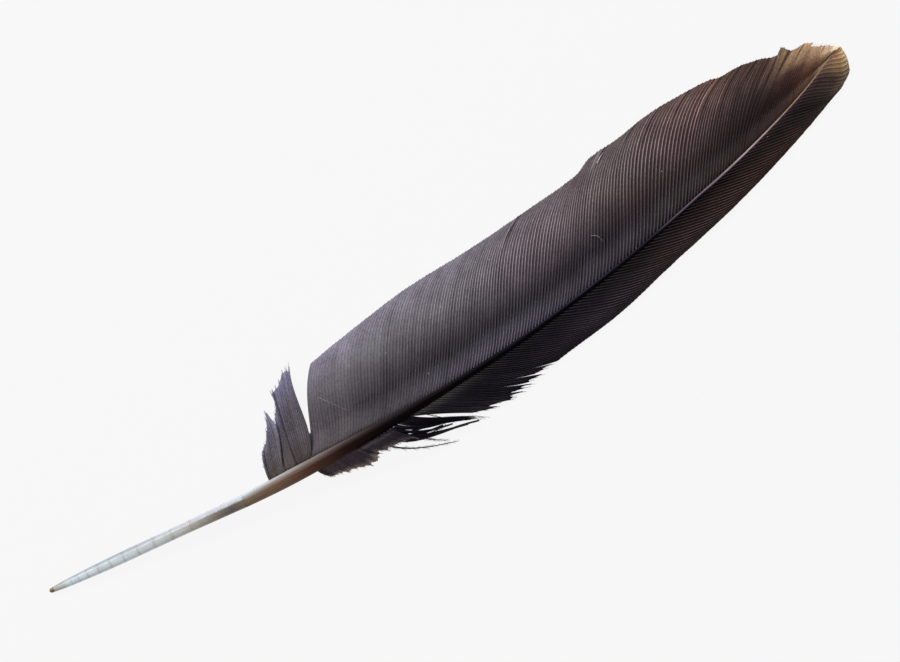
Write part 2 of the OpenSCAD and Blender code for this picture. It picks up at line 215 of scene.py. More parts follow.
# SHAFT_TINT runs across the shaft from the wide vane's side to the narrow side: the horn's own pale, brown
# and black, with painted highlight on the wide vane's side and painted shade towards the narrow side.
SHAFT_TINT = [[34, (186, 190, 198), (140, 138, 138), (104, 92, 78), (122, 102, 84)],
    [40, (172, 172, 173), (112, 100, 97), (98, 72, 50), (112, 92, 78)],
    [46, (124, 113, 107), (86, 74, 70), (60, 34, 27), (82, 56, 48)],
    [52, (82, 72, 68), (40, 28, 28), (26, 14, 14), (40, 22, 18)],
    [58, (50, 40, 40), (16, 7, 10), (9, 6, 7), (14, 5, 6)],
    [66, (34, 26, 30), (3, 1, 2), (4, 2, 3), (5, 2, 3)],
    [80, (25, 20, 27), (3, 2, 5), (2, 1, 4), (2, 1, 3)],
    [98, (46, 43, 62), (5, 3, 9), (4, 1, 5), (3, 1, 3)],
    [112, (42, 37, 58), (14, 8, 15), (12, 6, 9), (5, 2, 4)],
    [122, (118, 108, 126), (92, 76, 92), (56, 38, 46), (12, 7, 8)],
    [132, (124, 114, 106), (156, 142, 140), (172, 148, 162), (102, 74, 94)],
    [142, (46, 30, 20), (90, 64, 44), (168, 138, 108), (188, 164, 150)],
    [152.6, (118, 96, 74), (132, 106, 82), (140, 114, 88), (142, 118, 92)]]
ACROSS_VANE = [0.05, 0.22, 0.6, 1]
ACROSS_SHAFT = [0.05, 0.28, 0.5, 0.9]


def linear(c):
    c = c / 255
    return c / 12.92 if c <= 0.04045 else ((c + 0.055) / 1.055) ** 2.4


def colour(rgb):
    return Vector([linear(c) for c in rgb])


def between(stops, x):
    """The index of the stop before x, and how far x is from it to the next, from 0 to 1."""
    k = max([0] + [i for i in range(len(stops) - 1) if x >= stops[i]])
    return k, min(max((x - stops[k]) / (stops[k + 1] - stops[k]), 0), 1)


def prepared(table):
    return [row[0] for row in table], [[colour(c) for c in row[1:]] for row in table]


def tint(ready, station, across, stops):
    stations, colours = ready
    i, f = between(stations, station)
    j, g = between(stops, across)
    near = colours[i][j].lerp(colours[i][j + 1], g)
    return near.lerp(colours[i + 1][j].lerp(colours[i + 1][j + 1], g), f)


TINTS = {name: prepared(table) for name, table in (("wide", WIDE_TINT), ("narrow", NARROW_TINT),
    ("tuft", TUFT_TINT), ("down", DOWN_TINT), ("black", BLACK_TINT), ("shaft", SHAFT_TINT))}
print("colour tables:", ", ".join(TINTS))

# %% [markdown]
# ## Finishes
# Every finish starts from the Principled shader. The barbs and the web take their colour
# from the tint attribute. Noise on Object coordinates gives the blotches and the worn,
# dusty places, and a fine wave across each barb gives the barbules, which are too small to
# be modelled one by one: they run out from each barb at a slant, like the pile of a cloth.

# %% Node helper
def finish_of(name):
    """A new material, with its tree and its Principled shader."""
    made = bpy.data.materials.new(name)
    made.use_nodes = True
    return made, made.node_tree, made.node_tree.nodes["Principled BSDF"]


def node(tree, kind, feeds=None, **settings):
    """A node with its settings. feeds gives its inputs, as a value or as the socket that feeds them."""
    made = tree.nodes.new(kind)
    for key, value in settings.items():
        setattr(made, key, value)
    for key, value in (feeds or {}).items():
        if isinstance(value, bpy.types.NodeSocket):
            tree.links.new(value, made.inputs[key])
        else:
            made.inputs[key].default_value = value
    return made


def number(tree, operation, a, b=0.0, c=0.0):
    return node(tree, "ShaderNodeMath", {0: a, 1: b, 2: c}, operation=operation).outputs[0]


def mix(tree, share, a, b, blend="MIX"):
    return node(tree, "ShaderNodeMix", {0: share, 6: a, 7: b}, data_type="RGBA", blend_type=blend).outputs[2]


def ramp(tree, value, low, high, start, stop):
    return node(tree, "ShaderNodeMapRange", {"Value": value, "From Min": low, "From Max": high,
        "To Min": start, "To Max": stop}).outputs[0]


def noise(tree, scale, detail=3.0, roughness=0.55, vector=None):
    where = vector or node(tree, "ShaderNodeTexCoord").outputs["Object"]
    return node(tree, "ShaderNodeTexNoise", {"Vector": where, "Scale": scale, "Detail": detail,
        "Roughness": roughness}).outputs[0]


def attribute(tree, name, output="Fac"):
    return node(tree, "ShaderNodeAttribute", attribute_name=name).outputs[output]


def grey(value):
    return (value, value, value, 1)


print("node helpers ready")


# %% Barb and web finishes
BLOTCHES, GRAIN, WORN_PLACES, SPECKS = 260, 2600, 900, 620
SPECK_SIZE, SPECKS_KEPT = 0.055, 0.72
BARBULE_SLANT = 5.0


def mottled(tree, base, value, dark, light):
    """The base multiplied by a grey that runs from dark to light with a noise."""
    shade = mix(tree, ramp(tree, value, 0.3, 0.7, 0, 1), grey(dark), grey(light))
    return mix(tree, 1.0, base, shade, "MULTIPLY")


def feather_finish(name, roughness, dust, barbules, specular, sheen):
    """Keratin with a tint: dusty and greyed by wear in places, with barbules where barbules is above 0."""
    made, tree, shader = finish_of(name)
    blotch = noise(tree, BLOTCHES, 4.0)
    grain = noise(tree, GRAIN, 2.0)
    base = mottled(tree, attribute(tree, "tint", "Color"), blotch, 0.84, 1.14)
    base = mottled(tree, base, grain, 0.82, 1.18)
    wear_and_ripple_shading = ramp(tree, noise(tree, WORN_PLACES, 5.0, 0.7), 0.62, 0.78, 0, dust)
    base = mix(tree, wear_and_ripple_shading, base, (0.42, 0.41, 0.44, 1))
    where = node(tree, "ShaderNodeTexCoord").outputs["Object"]
    specks = node(tree, "ShaderNodeTexVoronoi", {"Vector": where, "Scale": SPECKS})
    chosen = number(tree, "GREATER_THAN", specks.outputs["Color"], SPECKS_KEPT)
    near = number(tree, "LESS_THAN", specks.outputs["Distance"], SPECK_SIZE)
    speck = number(tree, "MULTIPLY", number(tree, "MULTIPLY", near, chosen), dust * 8)
    base = mix(tree, speck, base, (0.5, 0.5, 0.6, 1))
    tree.links.new(base, shader.inputs["Base Color"])
    rough = ramp(tree, blotch, 0.3, 0.7, roughness + 0.08, roughness - 0.08)
    tree.links.new(rough, shader.inputs["Roughness"])
    height = number(tree, "MULTIPLY", grain, 0.4)
    if barbules:
        reach = attribute(tree, "reach")
        row = attribute(tree, "row")
        slant = number(tree, "ABSOLUTE", number(tree, "SUBTRACT", number(tree, "FRACT", row), 0.5))
        slant = number(tree, "MULTIPLY", slant, BARBULE_SLANT)
        turns = number(tree, "ADD", number(tree, "MULTIPLY", reach, barbules), slant)
        wave = number(tree, "SINE", number(tree, "MULTIPLY", turns, 2 * math.pi))
        height = number(tree, "ADD", height, number(tree, "MULTIPLY", wave, 0.3))
    bump = node(tree, "ShaderNodeBump", {"Height": height, "Strength": 0.35, "Distance": 0.00003})
    tree.links.new(bump.outputs[0], shader.inputs["Normal"])
    shader.inputs["Specular IOR Level"].default_value = specular
    shader.inputs["Sheen Weight"].default_value = sheen
    shader.inputs["Sheen Roughness"].default_value = 0.4
    return made


WIDE_WEB = feather_finish("wide_web", 0.6, 0.06, 9.0, 0.1, 0.0)
WIDE_BARB = feather_finish("wide_barb", 0.45, 0.1, 0, 0.15, 0.0)
NARROW_WEB = feather_finish("narrow_web", 0.6, 0.02, 9.0, 0.04, 0.0)
NARROW_BARB = feather_finish("narrow_barb", 0.45, 0.04, 0, 0.08, 0.0)
DOWNY_WEB = feather_finish("downy_web", 0.7, 0.08, 7.0, 0.1, 0.02)
DOWNY_BARB = feather_finish("downy_barb", 0.6, 0.1, 0, 0.12, 0.0)
LOOSE_BARB = feather_finish("loose_barb", 0.5, 0.03, 0, 0.06, 0.0)
print("barb finishes made")

# %% [markdown]
# ## Horn
# The quill is bare horn, clear enough that the dried caps inside show as pale bands, and
# it browns towards the vane. Its side towards the lamp is painted pale as highlight, and
# the colour of its other side is painted darker towards the lamp and lighter away from it.
# The bands are where the caps are, so their places come from the same rule that spaces the
# caps: a rule that grows step by step is solved backwards with a square root, and the
# fraction of the answer is zero at each cap. Distances along and across the quill are dot
# products with its axis, so the pattern lies square to it.

# %% Horn finishes
QUILL_TIP = placed(SHAFT[0])
QUILL_AXIS = (shaft(CALAMUS_END) - shaft(0)).normalized()
QUILL_ACROSS = Vector((-QUILL_AXIS.y, QUILL_AXIS.x, 0)).normalized()
CAPS_FROM, CAP_STEP, CAP_GROWTH = 2.8, 1.1, 0.125


def distance(tree, direction):
    """Distance from the quill's tip along a direction, in millimetres."""
    where = node(tree, "ShaderNodeTexCoord").outputs["Object"]
    moved = node(tree, "ShaderNodeVectorMath", {0: where, 1: QUILL_TIP}, operation="SUBTRACT").outputs[0]
    far = node(tree, "ShaderNodeVectorMath", {0: moved, 1: direction}, operation="DOT_PRODUCT")
    return number(tree, "MULTIPLY", far.outputs["Value"], 1 / MM)


def colour_ramp(tree, value, low, high, stops):
    """Colours in 0 to 255 at distances from low to high."""
    share = ramp(tree, value, low, high, 0, 1)
    made = node(tree, "ShaderNodeValToRGB", {0: share})
    elements = made.color_ramp.elements
    while len(elements) < len(stops):
        elements.new(0.5)
    for element, (at, rgb) in zip(elements, stops):
        element.position = (at - low) / (high - low)
        element.color = [*colour(rgb), 1]
    return made.outputs[0]


def horn_finish():
    made, tree, shader = finish_of("clear_horn")
    along = distance(tree, QUILL_AXIS)
    across = number(tree, "DIVIDE", distance(tree, QUILL_ACROSS), BARREL_R)
    # lit is the quill's side towards the lamp, painted pale as highlight; shade is its other side, the
    # horn's cells and browning with painted shade.
    lit = colour_ramp(tree, along, 0, 36, [(0, (140, 142, 138)), (3, (143, 150, 158)), (14, (142, 149, 159)),
        (22, (174, 179, 190)), (30, (178, 182, 191)), (34.4, (184, 188, 196))])
    shade = colour_ramp(tree, along, 0, 36, [(0, (150, 142, 122)), (3, (188, 197, 202)),
        (16, (188, 193, 196)), (24, (170, 167, 159)), (29, (124, 116, 106)), (32, (90, 84, 78)),
        (34.4, (104, 92, 78))])
    side = node(tree, "ShaderNodeMapRange", {"Value": across, "From Min": 0.05, "From Max": 0.95,
        "To Min": 0.0, "To Max": 1.0}, interpolation_type="SMOOTHSTEP").outputs[0]
    # under paints the shade colour darker towards the lamp and lighter on the far side: painted shade and
    # painted light.
    under = ramp(tree, across, -0.7, 0.5, 1.22, 0.74)
    shade = mix(tree, 1.0, shade, under, "MULTIPLY")
    base = mix(tree, side, shade, lit)
    inside = number(tree, "MAXIMUM", number(tree, "SUBTRACT", along, CAPS_FROM), 0.0)
    half_step = CAP_STEP - CAP_GROWTH
    square = number(tree, "ADD", number(tree, "MULTIPLY", inside, 4 * CAP_GROWTH), half_step**2)
    root = number(tree, "SQRT", square)
    count = number(tree, "DIVIDE", number(tree, "SUBTRACT", root, half_step), 2 * CAP_GROWTH)
    wobble = number(tree, "MULTIPLY", number(tree, "SUBTRACT", noise(tree, 900, 2.0), 0.5), 0.25)
    part = number(tree, "FRACT", number(tree, "ADD", number(tree, "ADD", count, wobble), 0.5))
    away = number(tree, "ABSOLUTE", number(tree, "SUBTRACT", part, 0.5))
    band = node(tree, "ShaderNodeMapRange", {"Value": away, "From Min": 0.02, "From Max": 0.13,
        "To Min": 0.28, "To Max": 0.0}, interpolation_type="SMOOTHSTEP").outputs[0]
    band = number(tree, "MULTIPLY", band, ramp(tree, along, 26, 30, 1, 0))
    base = mix(tree, band, base, (*colour((128, 122, 96)), 1))
    cloudy = ramp(tree, noise(tree, 700, 3.0), 0.35, 0.65, 0, 1)
    base = mix(tree, 1.0, base, mix(tree, cloudy, grey(0.93), (1.02, 1.04, 1.06, 1)), "MULTIPLY")
    tree.links.new(base, shader.inputs["Base Color"])
    tree.links.new(ramp(tree, cloudy, 0, 1, 0.34, 0.22), shader.inputs["Roughness"])
    scratch = noise(tree, 1700, 3.0)
    bump = node(tree, "ShaderNodeBump", {"Height": scratch, "Strength": 0.06, "Distance": 0.00002})
    tree.links.new(bump.outputs[0], shader.inputs["Normal"])
    shader.inputs["IOR"].default_value = 1.54
    shader.inputs["Subsurface Weight"].default_value = 0.15
    shader.inputs["Subsurface Radius"].default_value = (0.001, 0.001, 0.0009)
    shader.inputs["Specular IOR Level"].default_value = 0.2
    return made


def stained_finish(name, dark, light, scale, roughness):
    """A plain natural stuff, mottled between two colours and a little uneven."""
    made, tree, shader = finish_of(name)
    mottle = ramp(tree, noise(tree, scale, 5.0, 0.6), 0.35, 0.65, 0, 1)
    base = mix(tree, mottle, (*colour(dark), 1), (*colour(light), 1))
    tree.links.new(base, shader.inputs["Base Color"])
    tree.links.new(ramp(tree, mottle, 0, 1, roughness + 0.1, roughness - 0.05), shader.inputs["Roughness"])
    bump = node(tree, "ShaderNodeBump", {"Height": mottle, "Strength": 0.3, "Distance": 0.00004})
    tree.links.new(bump.outputs[0], shader.inputs["Normal"])
    return made


def shaft_finish():
    """The shaft's horn: its tint, with painted highlight and painted shade across it, and long fine streaks.
    """
    made, tree, shader = finish_of("shaft_horn")
    where = node(tree, "ShaderNodeTexCoord").outputs["Object"]
    drawn = node(tree, "ShaderNodeMapping", {"Vector": where, "Scale": (0.06, 1, 1)}).outputs[0]
    streak = ramp(tree, noise(tree, 5200, 3.0, 0.6, drawn), 0.35, 0.65, 0, 1)
    base = attribute(tree, "tint", "Color")
    base = mix(tree, 1.0, base, mix(tree, streak, grey(0.84), grey(1.12)), "MULTIPLY")
    base = mix(tree, ramp(tree, noise(tree, 1500, 4.0), 0.66, 0.8, 0, 0.03), base, (0.4, 0.38, 0.36, 1))
    tree.links.new(base, shader.inputs["Base Color"])
    tree.links.new(ramp(tree, streak, 0, 1, 0.52, 0.4), shader.inputs["Roughness"])
    bump = node(tree, "ShaderNodeBump", {"Height": streak, "Strength": 0.2, "Distance": 0.00002})
    tree.links.new(bump.outputs[0], shader.inputs["Normal"])
    shader.inputs["Specular IOR Level"].default_value = 0.02
    return made


HORN = horn_finish()
TIP_HORN = stained_finish("brown_tip_horn", (74, 54, 32), (138, 112, 78), 2600, 0.4)
MEMBRANE = stained_finish("dried_membrane", (176, 166, 132), (216, 210, 186), 2200, 0.6)
PITH = stained_finish("foamy_pith", (206, 198, 178), (236, 231, 216), 3000, 0.85)
SHAFT_HORN = shaft_finish()
FIBRE_AND_GLINT = stained_finish("stray_fibre_and_glint", (118, 112, 120), (176, 172, 186), 2400, 0.6)
print("horn, membrane and pith finishes made")

# %% [markdown]
# ## Parts that keep the frame's own shape
# The quill's tube, its closed tip, the dried caps in its bore, the plug and the pith are
# turned or swept shapes that the frame already holds exactly. They only need their finish.

# %% Dress the frame's own parts
OWN = {"calamus": HORN, "closed_tip": TIP_HORN, "upper_plug": MEMBRANE, "rachis_pith": PITH}
OWN.update({name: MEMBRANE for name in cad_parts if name.startswith("pulp_cap")})
for name, material in OWN.items():
    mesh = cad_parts[name].data
    mesh.materials.clear()
    mesh.materials.append(material)
print("dressed", len(OWN), "of the frame's parts")

# %% [markdown]
# ## From points to pieces
# A finished bmesh becomes an object at the origin whose place is in its mesh. Its points
# carry three attributes for the finishes: the tint, the distance out along the barb and
# the count of barbs. Each piece then rides on a body, hides the frame's parts that it
# takes the place of, and gets its material.

# %% Make a piece
PIECES = []


def new_bmesh():
    bm = bmesh.new()
    bm.verts.layers.float_color.new("tint")
    bm.verts.layers.float.new("reach")
    bm.verts.layers.float.new("row")
    return bm


def layers(bm):
    return bm.verts.layers.float_color["tint"], bm.verts.layers.float["reach"], bm.verts.layers.float["row"]


def piece(name, bm, material, body, nodes=()):
    mesh = bpy.data.meshes.new(name)
    bm.to_mesh(mesh)
    bm.free()
    mesh.polygons.foreach_set("use_smooth", [True] * len(mesh.polygons))
    mesh.materials.append(material)
    made = bpy.data.objects.new(name, mesh)
    bpy.context.scene.collection.objects.link(made)
    if body:
        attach(made, body)
    if nodes:
        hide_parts(*nodes)
    PIECES.append(made)
    return made


def give_thickness(made, thickness):
    solid = made.modifiers.new("thickness", "SOLIDIFY")
    solid.thickness = thickness
    solid.offset = -1


print("piece maker ready")

# %% [markdown]
# ## The shaft
# The shaft is horn round a pith: round above, grooved below, and deeper than wide towards
# its tip. It could be lofted from a few outlines, but a circle that is extruded station by
# station and shaped at each one follows the bend exactly and keeps its seams closed.

# %% The shaft
RING_SIDES = 28
SHAFT_RINGS = 150
RACHIS_DEPTH = 1.3
GROOVE_DEPTH = 0.28


def shaft_axes(x):
    ahead, behind = shaft(min(x + 0.2, SHAFT_END)), shaft(max(x - 0.2, 0))
    along = (ahead - behind).normalized()
    across = Vector((-along.y, along.x, 0)).normalized()
    return across, along.cross(across)


def shape_ring(verts, x, tint_layer):
    """Moves the points of one ring to their places round the shaft at station x."""
    across, up = shaft_axes(x)
    grown = (x - CALAMUS_END) / (SHAFT_END - CALAMUS_END)
    tall = 1 + (RACHIS_DEPTH - 1) * grown
    groove = GROOVE_DEPTH * min(1, 4 * grown)
    for k, v in enumerate(verts):
        angle = 2 * math.pi * k / RING_SIDES
        below = (math.degrees(angle) - 270) / 30
        r = half_width(x)
        dent = 1 - groove * math.exp(-below * below)
        v.co = placed(shaft(x) + r * (math.cos(angle) * across + math.sin(angle) * tall * dent * up))
        # Round the ring the colour runs from painted highlight on the wide vane's side to painted shade on
        # the narrow side.
        v[tint_layer] = [*tint(TINTS["shaft"], x, 0.5 - 0.5 * math.cos(angle), ACROSS_SHAFT), 1]


bm = new_bmesh()
tint_layer = layers(bm)[0]
ring = bmesh.ops.create_circle(bm, segments=RING_SIDES, radius=1, cap_ends=True)["verts"]
shape_ring(ring, CALAMUS_END, tint_layer)
for k in range(1, SHAFT_RINGS + 1):
    edges = list({e for v in ring for e in v.link_edges if e.other_vert(v) in ring})
    grown = bmesh.ops.extrude_edge_only(bm, edges=edges)["geom"]
    fresh = [g for g in grown if isinstance(g, bmesh.types.BMVert)]
    above = {next(e.other_vert(v) for e in v.link_edges if e.other_vert(v) in ring): v for v in fresh}
    ring = [above[v] for v in ring]
    shape_ring(ring, CALAMUS_END + (SHAFT_END - CALAMUS_END) * k / SHAFT_RINGS, tint_layer)
bm.faces.new(ring)
bmesh.ops.recalc_face_normals(bm, faces=bm.faces[:])
shaft_piece = piece("shaft", bm, SHAFT_HORN, "root", ["rachis_cortex"])
print("shaft:", len(shaft_piece.data.polygons), "faces")

# %% [markdown]
# ## A panel of a vane
# On a real feather a vane is a few hundred barbs, zipped edge to edge by barbules. The
# zipped barbules read as a thin sheet that dips a little between barbs, and the barbs as
# ridges on it. So each panel of the frame gets two pieces: a web, made from a grid whose
# points are moved onto the barbs' lines and then given a thickness, and the barbs, each
# one a four-sided rod with a few dozen faces. Where barbs have come unzipped the web ends
# early and the rods go on alone.

# %% What a panel knows
# Each row: root station, gap in plan, step in height, spread, share of the barb where it starts
SPLITS = [[79.7, 0.0, 0.25, 0.9, 0.7], [103.5, 0, 0.2, 0.9, 0.78], [113.3, 0, 0.25, 0.9, 0.68],
    [123.5, 0.1, 0.35, 0.8, 0.45], [127.4, 0, 0.3, 0.8, 0.72], [146.3, 0.15, 0.15, 0.4, 0.7],
    [97, 0.1, 0.35, 1.2, 0.8], [108.1, 0.12, 0.35, 1.3, 0.62], [119, 0.15, 0.4, 1.2, 0.55],
    [131.2, 0.35, 0.45, 1.0, 0.5], [134, 0.1, 0.3, 0.7, 0.6], [138.3, 0.3, 0.2, 0.5, 0.72]]
SWAY = 0.1
LIP_LIGHT, LIP_SHADE = 3.4, 0.6
VALLEY_AT, VALLEY_W, VALLEY_DEPTH = 0.22, 0.12, 0.5
CREST_AT, CREST_W, CREST_HEIGHT = 0.58, 0.2, 0.6


def swell(w):
    """The wide vane's section: a valley near the shaft and a crest beyond the middle."""
    return (CREST_HEIGHT * math.exp(-((w - CREST_AT) / CREST_W)**2)
            - VALLEY_DEPTH * math.exp(-((w - VALLEY_AT) / VALLEY_W)**2))


# Each row: root station, distance from one root to the next
WIDE_PITCH = [[38, 0.3], [46, 0.47], [60, 0.51], [72, 0.54], [84, 0.58], [96, 0.63], [108, 0.72],
    [120, 0.68], [132, 0.63], [152.6, 0.56]]
NARROW_PITCH = [[46, 0.42], [63, 0.54], [72, 0.59], [84, 0.71], [96, 0.84], [108, 0.96],
    [132, 0.98], [146, 0.88], [152.6, 0.8]]


class Panel:
    """A run of barbs from one root to another. ragged is the spread of their lengths, web the share of
    a barb that the web reaches, pinch how far the tips draw together, gather how near the tips they do
    so, and pull how far barbs sway from their even places."""

    pull = 0.6
    gather = 3

    def __init__(self, table, side, first, last, tints, ragged=0.008, web=0.995, pinch=0.0, lift=0.0,
                 waved=False, thick=1.0, count=None):
        self.table, self.side, self.first, self.last = table, side, first, last
        self.tints, self.web, self.pinch, self.lift = TINTS[tints], web, pinch, lift * LAYER_STEP
        self.waved, self.thick = waved, thick
        pitch = curve(WIDE_PITCH if side > 0 else NARROW_PITCH, (first + last) / 2, 1)
        self.count = count or max(3, round((last - first) / pitch))
        self.lengths = [1 - ragged * random.random() for _ in range(self.count)]
        self.tones_and_shade = [random.uniform(0.88, 1.12) for _ in range(self.count)]
        self.sway = [random.gauss(0, 1) for _ in range(self.count)]
        self.sway[0] = self.sway[-1] = 0
        self.lengths[-1] = 1
        self.middle = barb_line(table, (first + last) / 2, side, self.lift)

    def root(self, row):
        """The root station of the barb with this count, where whole counts are barbs."""
        return self.first + (self.last - self.first) * (row + 0.5) / self.count

    def blend(self, values, row):
        i = min(max(int(math.floor(row)), 0), self.count - 1)
        j = min(i + 1, self.count - 1)
        return values[i] + (values[j] - values[i]) * min(max(row - i, 0), 1)

    def line(self, row):
        """The line of a barb, as a function of w. A row between two whole ones lies between their barbs."""
        root = self.root(row)
        own = barb_line(self.table, root, self.side, self.lift)
        sway = self.blend(self.sway, row) * SWAY * self.pull

        def at(w):
            p = own(w) + (self.middle(w) - own(w)) * self.pinch * w**self.gather
            p.x += sway * w * w
            if self.waved:
                p.z += swell(w)
                for where, opening, step, spread, start in SPLITS:
                    off = root - where
                    share = math.exp(-(off / spread)**2) * ease((w - start) / (1 - start))
                    p.x += math.copysign(opening / 2, off) * share
                    p.z += math.copysign(step / 2, off) * share
            return p

        return at

    def spacing(self, row, w):
        """The distance from one barb to the next, square to them, at share w."""
        here, there = self.line(row)(w).xy, self.line(row + 1)(w).xy
        flow = (self.line(row)(min(w + 0.05, 1)) - self.line(row)(max(w - 0.05, 0))).xy.normalized()
        return abs((there - here).cross(flow))

    def tint(self, row, w, strength):
        root = self.root(row)
        strength *= self.blend(self.tones_and_shade, row)
        if self.waved:
            # Lighter and darker wavy bands across the outer wide vane: painted light and shade of its
            # ripples.
            wear_and_ripple_shading = 0.2 * math.sin(1.7 * root + 3 * w)
            strength *= 1 + wear_and_ripple_shading * ease((root - 110) / 16) * ease((w - 0.3) / 0.3)
            # A painted highlight on the lip before each split and painted shade just beyond it.
            for where, _, step, _, start in SPLITS:
                off = root - where
                share = ease((w - start) / (1 - start) * 2)
                lit = LIP_LIGHT * step * math.exp(-((off + 0.2) / 0.3)**2)
                strength *= 1 + share * (lit - LIP_SHADE * math.exp(-((off - 0.45) / 0.45)**2))
        return [*(tint(self.tints, root, w, ACROSS_VANE) * strength), 1]


print("barbs stand %.2f to %.2f mm apart on the wide vane" % (WIDE_PITCH[1][1], WIDE_PITCH[6][1]))

# %% The web of a panel
WEB_COLUMNS = 4
WEB_ROWS = 26
WEB_THICKNESS = 0.00006
WEB_DIP = 0.05
WEB_SCALLOP = 0.007
WEB_DARKER = 0.72


def bell(x, middle, spread):
    """1 at the middle, falling to 0 on both sides."""
    return math.exp(-((x - middle) / spread)**2)


def barb_tone_and_shading(root, w, wide):
    """How far the barbs stand out from the web in colour, partly by their own paler horn and partly
    by a painted highlight on the barbs and painted shade on the web between them: most as bright
    ticks beside the shaft, little near the quill, near the vane's tip and in the valley."""
    along = ease((root - 57) / 26) if wide else ease((root - 60) / 7)
    along *= 1 - 0.9 * ease((root - 120) / 23)
    middle = 0.5 - 0.3 * ease((root - 105) / 20)
    across = (0.12 + 0.25 * ease((root - 96) / 20) + 0.75 * bell(w, 0, 0.13)
              + middle * bell(w, 0.6, 0.22) - 0.3 * ease((w - 0.8) / 0.2))
    return 0.08 + along * across


def smooth_end(root, most):
    """Rises from 0 to most where the barbs of the wide vane's end lie smooth."""
    return most * ease((root - 116) / 18)


def web_bmesh(panel, slits=()):
    """The web: a grid moved onto the panel's lines. Each of the slits is a place, counted in barbs, and
    the share of the length beyond which the web is cut open there."""
    bm = new_bmesh()
    tint_layer, reach_layer, row_layer = layers(bm)
    columns = panel.count * WEB_COLUMNS
    middle_length = (panel.middle(1) - panel.middle(0)).length
    bmesh.ops.create_grid(bm, x_segments=columns, y_segments=WEB_ROWS, size=0.5)
    lines = {}
    for v in bm.verts:
        column = round((v.co.x + 0.5) * columns)
        row = column / WEB_COLUMNS - 0.5
        if column not in lines:
            lines[column] = panel.line(row)
        line = lines[column]
        between_barbs = 0.5 - 0.5 * math.cos(2 * math.pi * row)
        w = (v.co.y + 0.5) * panel.web * panel.blend(panel.lengths, row) * (1 - WEB_SCALLOP * between_barbs)
        p = line(w)
        dip = WEB_DIP * (1 - smooth_end(panel.root(row), 0.8) * panel.waved)
        p.z -= dip * between_barbs * min(1, 6 * w)
        v.co = placed(p)
        v[reach_layer] = w * (line(1) - line(0)).length
        v[row_layer] = row + 0.5
        # The web is painted darker by this share: painted shade between the barbs.
        shade = min(barb_tone_and_shading(panel.root(row), w, panel.waved), 1.2)
        v[tint_layer] = panel.tint(row, w, 1 - WEB_DARKER * shade)
    for at, share in slits:
        cut = [f for f in bm.faces
               if abs(sum(v[row_layer] for v in f.verts) / 4 - 0.5 - at) < 0.5 / WEB_COLUMNS
               and sum(v[reach_layer] for v in f.verts) / 4 > share * panel.web * middle_length]
        bmesh.ops.delete(bm, geom=cut, context="FACES")
    if panel.side < 0:
        bmesh.ops.reverse_faces(bm, faces=bm.faces[:])
    return bm


print("web:", WEB_COLUMNS, "columns to a barb")

# %% The barbs of a panel
ROD_SIDES, ROD_STEPS = 4, 11
HAIR_SIDES, HAIR_STEPS = 3, 3
THINNEST, THICKEST = 0.035, 0.16


def rod_template(sides, steps):
    """A straight rod of unit size, cut into steps along its length, that is copied for each barb."""
    bm = bmesh.new()
    bmesh.ops.create_cone(bm, cap_ends=True, segments=sides, radius1=1, radius2=1, depth=1)
    long_edges = [e for e in bm.edges if abs(e.verts[0].co.z - e.verts[1].co.z) > 0.5]
    bmesh.ops.subdivide_edges(bm, edges=long_edges, cuts=steps - 1)
    mesh = bpy.data.meshes.new("rod_template_%d_%d" % (sides, steps))
    bm.to_mesh(mesh)
    bm.free()
    return mesh


ROD = rod_template(ROD_SIDES, ROD_STEPS)
HAIR = rod_template(HAIR_SIDES, HAIR_STEPS)


def add_rod(bm, template, line, width, tone, depth=1.0):
    """Copies the template onto a line. width gives half the rod's width at share w, and tone its colour."""
    tint_layer, reach_layer = layers(bm)[:2]
    before = len(bm.verts)
    bm.from_mesh(template)
    bm.verts.ensure_lookup_table()
    length = (line(1) - line(0)).length
    sections = {}
    for v in bm.verts[before:]:
        x, y, w = v.co.x, v.co.y, round(v.co.z + 0.5, 4)
        if w not in sections:
            flow = line(min(w + 0.02, 1)) - line(max(w - 0.02, 0))
            square = Vector((-flow.y, flow.x, 0)).normalized()
            sections[w] = (line(w), square, width(w), tone(w))
        centre, square, half, shade = sections[w]
        v.co = placed(centre + square * x * half + Vector((0, 0, y * half * depth)))
        v[tint_layer] = shade
        v[reach_layer] = w * length


def barbs_bmesh(panel, strength=1.9, cover=0.5, lean=1.5):
    """All the barbs of a panel in one bmesh. strength is how much lighter than the web they are, partly
    their own paler horn and partly painted highlight, cover the share of the web that they hide and
    lean how much deeper than wide they are."""
    bm = new_bmesh()
    for i in range(panel.count):
        own = panel.line(i)
        reach = panel.lengths[i]
        root = panel.root(i)
        grown = 0.5 + 0.5 * ease((root - 50) / 16) - smooth_end(root, 0.4)
        size = cover * (grown if panel.waved else panel.thick)
        widths = [panel.spacing(i, reach * k / ROD_STEPS) for k in range(ROD_STEPS + 1)]

        def line(w, own=own, reach=reach):
            return own(w * reach)

        def half(w, size=size, widths=widths):
            gap = widths[round(w * ROD_STEPS)]
            thick = min(max(size * gap / 2, THINNEST), THICKEST)
            return thick * (1 - 0.3 * w) * (1 - 0.5 * ease((w - 0.85) / 0.15))

        def tone(w, i=i, root=root):
            return panel.tint(i, w, 1 + strength * barb_tone_and_shading(root, w, panel.waved))

        add_rod(bm, ROD, line, half, tone, lean)
    bmesh.ops.recalc_face_normals(bm, faces=bm.faces[:])
    return bm


print("barb rod:", len(ROD.polygons), "faces")

# %% [markdown]
# ## The wide vane
# The broad vane trails behind the shaft. Its barbs run about 17 mm out and curve towards
# the tip, and a handful of splits open towards the edge, where the two lips also part in
# height, which is why they catch the light. A painted highlight on the lip before each
# split and painted shade just beyond it add to that.

